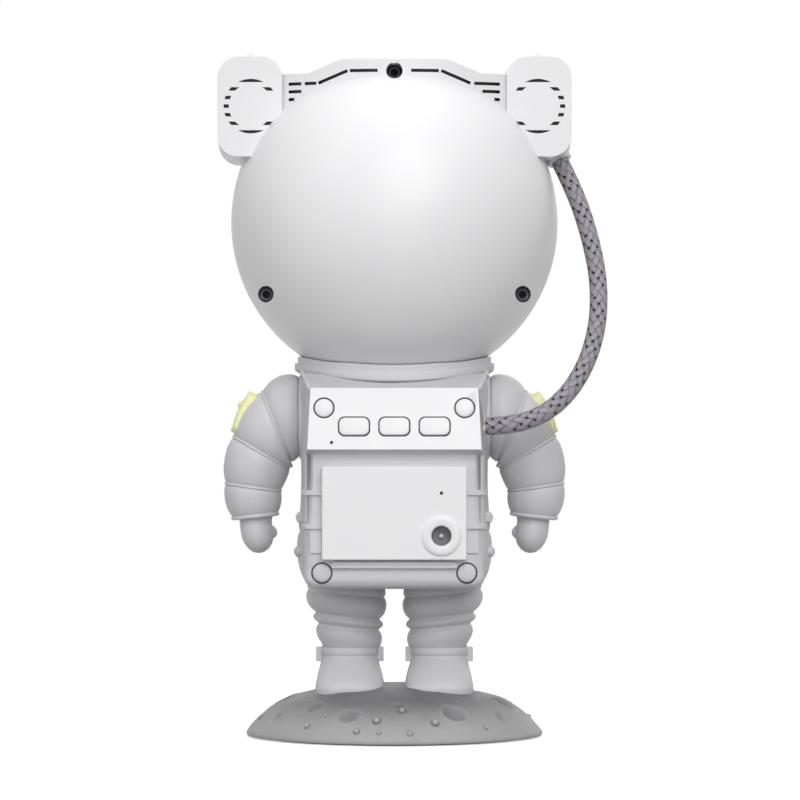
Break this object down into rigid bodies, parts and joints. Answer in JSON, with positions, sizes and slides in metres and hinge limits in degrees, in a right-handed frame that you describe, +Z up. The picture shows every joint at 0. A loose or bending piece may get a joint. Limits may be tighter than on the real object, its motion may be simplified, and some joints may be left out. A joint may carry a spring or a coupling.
{
  "type": "star projector",
  "caption": "Table-top star projector shaped as a standing astronaut on a moon base: turning, tilting head with lens and visor, swinging arms, backpack with push buttons and power socket.",
  "frame": {"origin": "centre of the base's underside, on the table", "axes": "+Z up; +Y out of the visor, the way it projects; -Y the figure's back with its controls; +X the figure's right-hand side"},
  "size_m": [0.1298, 0.109, 0.2279],
  "materials": {
    "moon_grey": "matte moulded plastic with a fine grain",
    "suit_grey": "matte moulded plastic",
    "shell_white": "polished white plastic",
    "panel_white": "satin white plastic",
    "badge_yellow": "pale yellow satin plastic",
    "dark_plastic": "matte black plastic",
    "inner_plastic": "matte grey plastic",
    "screw_steel": "blackened steel",
    "axle_steel": "ground steel",
    "pad_rubber": "matte rubber",
    "weight_iron": "cast iron",
    "magnet_nickel": "nickel plate",
    "visor_smoke": "polished dark smoke plastic",
    "clear_glass": "clear glass",
    "ripple_blue": "rippled tinted glass",
    "lamp_milky": "milky diffuser plastic",
    "board_green": "solder mask",
    "sink_aluminium": "extruded aluminium",
    "gear_nylon": "natural nylon",
    "laser_brass": "turned brass",
    "hose_braid": "braided sleeve"
  },
  "bodies": {
    "figure_body": {"base_shell": "moon_grey", "base_plate": "dark_plastic", "base_pad": "pad_rubber", "base_weight": "weight_iron", "base_screws": "screw_steel", "boots": "suit_grey", "boot_screws": "screw_steel", "legs": "suit_grey", "torso_rear_shell": "suit_grey", "torso_front_shell": "suit_grey", "chest_unit": "suit_grey", "neck_collar": "suit_grey", "backpack_shell": "suit_grey", "pack_straps": "suit_grey", "corner_caps": "suit_grey", "backpack_screws": "screw_steel", "backpack_panel": "panel_white", "socket_ring": "panel_white", "dc_jack": "dark_plastic", "control_board": "board_green", "key_switches": "dark_plastic", "hose_grommet": "dark_plastic", "power_hose": "hose_braid"},
    "neck_swivel": {"swivel_dish": "inner_plastic", "neck_magnet": "magnet_nickel"},
    "head": {"head_rear_shell": "shell_white", "head_front_shell": "shell_white", "head_screws": "screw_steel", "ear_box_left": "suit_grey", "ear_box_right": "suit_grey", "ear_covers": "suit_grey", "ear_lamp_lenses": "lamp_milky", "lamp_bar": "suit_grey", "vent_screens": "dark_plastic", "visor_frame": "shell_white", "visor": "visor_smoke", "star_window": "clear_glass", "lens_barrel": "dark_plastic", "lens_bezel": "dark_plastic", "projection_lens": "clear_glass", "optics_chassis": "inner_plastic", "heat_sink": "sink_aluminium", "led_board": "board_green", "disc_axle": "axle_steel", "gear_motor": "axle_steel", "laser_module": "laser_brass", "head_circuit_board": "board_green", "magnet_cup": "inner_plastic", "head_magnet": "magnet_nickel", "hose_ferrule": "dark_plastic"},
    "nebula": {"nebula_gear": "gear_nylon", "ripple_glass": "ripple_blue"},
    "pinion": {"drive_pinion": "gear_nylon"},
    "left_arm": {"arm_left": "suit_grey", "arm_badge_left": "badge_yellow"},
    "right_arm": {"arm_right": "suit_grey", "arm_badge_right": "badge_yellow"},
    "left_button": {"button_left": "panel_white"},
    "middle_button": {"button_middle": "panel_white"},
    "right_button": {"button_right": "panel_white"}
  },
  "joints": [
    {"name": "head_turn", "type": "hinge", "parent": "figure_body", "child": "neck_swivel", "pos_m": [0, 0, 0.1116], "axis": [0, 0, 1], "range_deg": [-45, 45], "deforming": ["power_hose"]},
    {"name": "head_tilt", "type": "hinge", "parent": "neck_swivel", "child": "head", "pos_m": [0, 0, 0.1713], "axis": [1, 0, 0], "range_deg": [-15, 30], "deforming": ["power_hose"]},
    {"name": "nebula_spin", "type": "hinge", "parent": "head", "child": "nebula", "pos_m": [-0.015, 0.0123, 0.1773], "axis": [0, 1, 0], "continuous": true},
    {"name": "pinion_spin", "type": "hinge", "parent": "head", "child": "pinion", "pos_m": [0.001, 0.0123, 0.20501], "axis": [0, 1, 0], "continuous": true},
    {"name": "left_arm_swing", "type": "hinge", "parent": "figure_body", "child": "left_arm", "pos_m": [-0.0318, 0, 0.1064], "axis": [1, 0, 0], "range_deg": [-15, 100]},
    {"name": "right_arm_swing", "type": "hinge", "parent": "figure_body", "child": "right_arm", "pos_m": [0.0318, 0, 0.1064], "axis": [1, 0, 0], "range_deg": [-15, 100]},
    {"name": "left_button_press", "type": "slide", "parent": "figure_body", "child": "left_button", "axis": [0, 0.9781, -0.2079], "range_m": [0, 0.0008], "stiffness_N_per_m": 900, "springref_m": -0.0006},
    {"name": "middle_button_press", "type": "slide", "parent": "figure_body", "child": "middle_button", "axis": [0, 0.9781, -0.2079], "range_m": [0, 0.0008], "stiffness_N_per_m": 900, "springref_m": -0.0006},
    {"name": "right_button_press", "type": "slide", "parent": "figure_body", "child": "right_button", "axis": [0, 0.9781, -0.2079], "range_m": [0, 0.0008], "stiffness_N_per_m": 900, "springref_m": -0.0006}
  ],
  "couplings": [
    {"joint": "pinion_spin", "follows": "nebula_spin", "ratio": -4}
  ]
}
